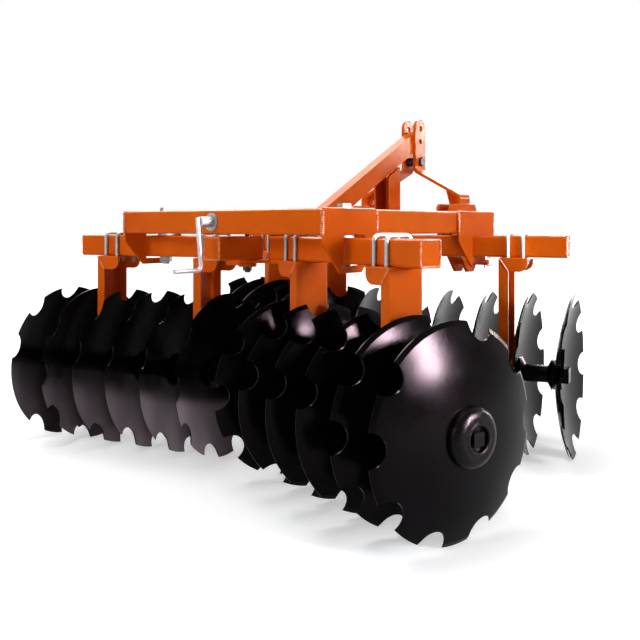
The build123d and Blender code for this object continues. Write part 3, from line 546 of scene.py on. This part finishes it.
def weld_piece(name, body, lines, radius, seed):
    """All of one body's beads of one size."""
    dice = random.Random(seed)
    bm = bmesh.new()
    for line in lines:
        lay_bead(bm, line, radius, dice)
    new_piece(name, body, "orange", mesh_of(bm, name, BEAD_SMOOTH_ANGLE), WELD_PAINT_WITH_PAINTED_HIGHLIGHT)


def both(lines):
    """Lines of the right side, with their mirror images."""
    return lines + [[Vector((-p.x, p.y, p.z)) for p in line] for line in lines]


def upright(x, y, low, high):
    """Line straight up."""
    return [Vector((x, y, low)), Vector((x, y, high))]


def level(x0, y0, x1, y1, z):
    """Level line."""
    return [Vector((x0, y0, z)), Vector((x1, y1, z))]


def cap_loop(place):
    """Line round the cap of a tube, from a function that places (across, up)."""
    corner = TUBE_CORNER - CAP_INSET
    straight = HALF_TUBE - CAP_INSET - corner
    points = []
    for way_x, way_z, start in ((1, 1, 0), (-1, 1, 90), (-1, -1, 180), (1, -1, 270)):
        for step in range(CAP_CORNER_STEPS + 1):
            a = math.radians(start + 90 / CAP_CORNER_STEPS * step)
            across = way_x * straight + corner * math.cos(a)
            points.append(place(across, way_z * straight + corner * math.sin(a)))
    return [*points, points[0]]


def frame_welds():
    """Beads of the rectangle, its corner plates, mast and hitch."""
    lines = []
    for end in (-1, 1):
        outer = end * FRAME_HALF_LENGTH
        inner = end * RAIL_END
        plate = end * PLATE_INNER_Y
        lines.append(upright(PLATE_OUTER - CORNER_INSET, outer, FRAME_BOTTOM, FRAME_TOP))
        for x in (RAIL_X - HALF_TUBE, HALF_TUBE):
            lines.append(upright(x, inner, FRAME_BOTTOM + INNER_SHORT, FRAME_TOP - INNER_SHORT))
        lines.append(upright(PLATE_OUTER - PLATE_INSET, plate, FRAME_BOTTOM, FRAME_TOP - PLATE_SHORT))
    for x in HITCH_PLATES:
        for face in (-HITCH_PLATE_HALF, HITCH_PLATE_HALF):
            lines.append(upright(x + face, FRAME_HALF_LENGTH, FRAME_BOTTOM + HITCH_SHORT, FRAME_TOP))
    for face in (-MAST_BAR_THICK / 2, MAST_BAR_THICK / 2):
        x = sum(HITCH_PLATES) / 2 + face
        lines.append(level(x, MAST_Y - MAST_BAR_HALF, x, MAST_Y + MAST_BAR_HALF, HITCH_TOP))
    brace_low = BRACE_TOP - BRACE_DROP + BRACE_SHORT
    lines.append(upright(BRACE_HALF_WIDTH, BRACE_FRONT_Y, brace_low, BRACE_TOP))
    return both(lines)


def fine_frame_welds():
    """Thin beads over and under the rectangle, round the brace's foot and along the post's head."""
    rail_inner = RAIL_X - HALF_TUBE
    rail_outer = RAIL_X + HALF_TUBE - CORNER_INSET
    lines = []
    for end in (-1, 1):
        inner = end * RAIL_END
        outer = end * (FRAME_HALF_LENGTH - CORNER_INSET)
        lines.append(level(FRAME_HALF_WIDTH, outer, FRAME_HALF_WIDTH, end * PLATE_INNER_Y, FRAME_TOP))
        lines.append(level(rail_inner, inner, rail_outer, inner, FRAME_TOP))
        lines.append(level(rail_inner, inner, rail_outer, inner, FRAME_BOTTOM))
        lines.append(level(0, inner, HALF_TUBE - INNER_SHORT, inner, FRAME_TOP))
    heel = BRACE_FRONT_Y - (BRACE_TOP - FRAME_TOP) / BRACE_SLOPE
    toe = heel + BRACE_DROP / BRACE_SLOPE
    lines.append(level(BRACE_HALF_WIDTH, heel, BRACE_HALF_WIDTH, toe, FRAME_TOP))
    lines.append(level(0, heel, BRACE_HALF_WIDTH, heel, FRAME_TOP))
    lines.append(level(0, toe, BRACE_HALF_WIDTH, toe, FRAME_TOP))
    lines.append(level(HALF_TUBE, RAIL_END, HALF_TUBE, FRAME_HALF_LENGTH, FRAME_TOP))
    lines.append(level(0, FRAME_HALF_LENGTH, HALF_TUBE, FRAME_HALF_LENGTH, FRAME_TOP))
    post_rear = BRACE_TOP - BRACE_SLOPE * (BRACE_FRONT_Y - RAIL_END) - BRACE_DROP
    post_front = post_rear + BRACE_SLOPE * TUBE
    lines.append([
        Vector((BRACE_HALF_WIDTH, RAIL_END, post_rear)),
        Vector((BRACE_HALF_WIDTH, FRAME_HALF_LENGTH, post_front))])
    return both(lines)


def gang_welds(end, side):
    """Beads of one gang: the caps of its beam and the mitres of its shanks."""
    gang = GANGS[end]
    lines = [
        cap_loop(lambda across, up, x=x: gang_point(end, side, x, across, GANG_Z + up))
        for x in gang.beam_ends]
    for face in shank_faces(gang):
        for y in (-SHANK_HALF_WIDTH, SHANK_HALF_WIDTH):
            corner = gang_point(end, side, face - gang.bulge * MITRE_INSET, y, GANG_BOTTOM - MITRE_INSET)
            inside = gang_point(end, side, face - gang.bulge * SHANK_DEPTH, y, GANG_BOTTOM - ARM_HEIGHT)
            lines.append([corner, inside])
    return lines


def add_welds():
    """Every bead of weld."""
    weld_piece("frame_welds", "frame", frame_welds(), FRAME_BEAD, seed=1)
    weld_piece("frame_fine_welds", "frame", fine_frame_welds(), FINE_BEAD, seed=2)
    for end, side, seed in (
            ("front", "left", 3), ("rear", "left", 5), ("front", "right", 4), ("rear", "right", 6)):
        weld_piece(f"{end}_gang_welds_{side}", gang_body(end, side), gang_welds(end, side), GANG_BEAD, seed)
    slider = [
        cap_loop(lambda across, up, y=y: Vector((across, y, GANG_Z + up)))
        for y in (-FRAME_HALF_LENGTH, SLIDER_FRONT_Y)]
    weld_piece("slider_welds", "slider", slider, GANG_BEAD, seed=7)


# Threads of the U-bolts, upward from just below the lower ends of the rods
THREAD_FOOT = 0.4
THREAD_START = 0.6
THREAD_PITCH = 1.75
THREAD_COUNT = 4
THREAD_TIP = 4.6
THREAD_ROOT = 5.4
THREAD_CREST = 6.35
THREAD_SIDES = 20

# Washers over their nuts, upward from just below the underside of the shanks' arms
WASHER_FOOT = 1.7
WASHER_THICK = 1.6
WASHER_BORE = 6.5
WASHER_RADIUS = 12.5
WASHER_SIDES = 28


def add_u_bolt_ends():
    """Washers over the nuts of the U-bolts, and the threads below them."""
    threads = [(0.0, THREAD_TIP)]
    for number in range(THREAD_COUNT):
        low = THREAD_START + number * THREAD_PITCH
        threads += [(low, THREAD_ROOT), (low + THREAD_PITCH / 2, THREAD_CREST)]
    threads.append((THREAD_START + THREAD_COUNT * THREAD_PITCH, THREAD_ROOT))
    washer = [
        (0.0, WASHER_BORE), (0.0, WASHER_RADIUS), (WASHER_THICK, WASHER_RADIUS), (WASHER_THICK, WASHER_BORE)]
    thread_low = GANG_BOTTOM - U_TAIL - THREAD_FOOT
    washer_low = GANG_BOTTOM - SHANK_WALL - WASHER_FOOT
    for end, gang in GANGS.items():
        for side in SIDES:
            bm = bmesh.new()
            for face in shank_faces(gang):
                for station in U_STATIONS:
                    for y in (-U_LEG_Y, U_LEG_Y):
                        x = face - gang.bulge * station
                        lathe(bm, gang_point(end, side, x, y, thread_low), threads, THREAD_SIDES)
                        lathe(bm, gang_point(end, side, x, y, washer_low), washer, WASHER_SIDES)
            name = f"{end}_u_bolt_ends_{side}"
            new_piece(name, gang_body(end, side), "zinc", mesh_of(bm, name))


# Linchpins, upward from the tops of the hitch pins. Columns: height, radius
LINCHPIN_SHAFT = ((-34.0, 2.0), (-31.0, 4.6), (4.0, 4.8), (4.5, 8.5), (13.0, 8.5), (14.5, 7.0))
LINCHPIN_SIDES = 24
# Their rings, with the middle this far outward and down from there
RING_OUT = 15.0
RING_DROP = 8.0
RING_RADIUS = 17.0
RING_STEPS = 40
WIRE_RADIUS = 1.7
WIRE_SIDES = 10


def add_linchpins():
    """A linchpin with its sprung ring through each lower hitch pin."""
    for side, way in SIDES.items():
        bm = bmesh.new()
        top = Vector((way * LINCHPIN_X, MAST_Y, HITCH_PIN_Z + HITCH_PIN_RADIUS))
        lathe(bm, top, LINCHPIN_SHAFT, LINCHPIN_SIDES)
        centre = top + Vector((way * RING_OUT, 0, -RING_DROP))
        rings = []
        for n in range(RING_STEPS):
            a = 2 * math.pi * n / RING_STEPS
            out = Vector((way * math.cos(a), 0, math.sin(a)))
            turn = along(Vector((-way * math.sin(a), 0, math.cos(a))))
            rings.append(ring(centre + out * RING_RADIUS, turn, WIRE_RADIUS, WIRE_SIDES))
        skin(bm, rings, closed=True)
        name = f"linchpin_{side}"
        new_piece(name, "frame", "zinc", mesh_of(bm, name))


# Rounded end washers of the rear gangs, over the plain turned ones: from the disc over the crown, down into
# the recess of the axle's nut and back through the bore. Columns: away from the disc, radius
DOME_PROFILE = (
    (0.4, 74.6), (2.0, 76.0), (7.0, 76.4), (13.0, 74.8), (19.5, 70.5), (25.0, 63.5), (27.9, 56.0),
    (28.9, 49.5), (28.6, 45.0), (28.9, 41.5), (30.0, 38.5), (30.2, 35.5), (29.2, 32.8), (26.0, 31.4),
    (17.0, 31.0), (17.0, 12.0), (0.4, 12.0),
)
DOME_SIDES = 96
DOME_SMOOTH_ANGLE = 50


def add_domes():
    """The cast domes at the outer ends of the rear gangs."""
    reach = GANGS["rear"].reach
    for side in SIDES:
        root = gang_point("rear", side, reach, -AXLE_TRAIL, HUB_Z)
        tip = gang_point("rear", side, reach + 1, -AXLE_TRAIL, HUB_Z)
        way = (tip - root).normalized()
        turn = along(way)
        bm = bmesh.new()
        rings = [ring(root + way * away, turn, radius, DOME_SIDES) for away, radius in DOME_PROFILE]
        skin(bm, rings, closed=True)
        name = f"rear_end_dome_{side}"
        new_piece(name, f"rear_disc_gang_{side}", "casting_black", mesh_of(bm, name, DOME_SMOOTH_ANGLE))


def dress_nodes():
    """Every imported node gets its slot's material."""
    for row in frame["record"]["subparts"]:
        node = frame["nodes"][row["node"]]
        node.data.materials.clear()
        node.data.materials.append(MATERIALS[row["material_slot"]])


bpy.context.scene.view_settings.view_transform = "Standard"
add_camera()
add_world()
add_lights()
add_floor()
dress_nodes()
add_welds()
add_u_bolt_ends()
add_linchpins()
add_domes()
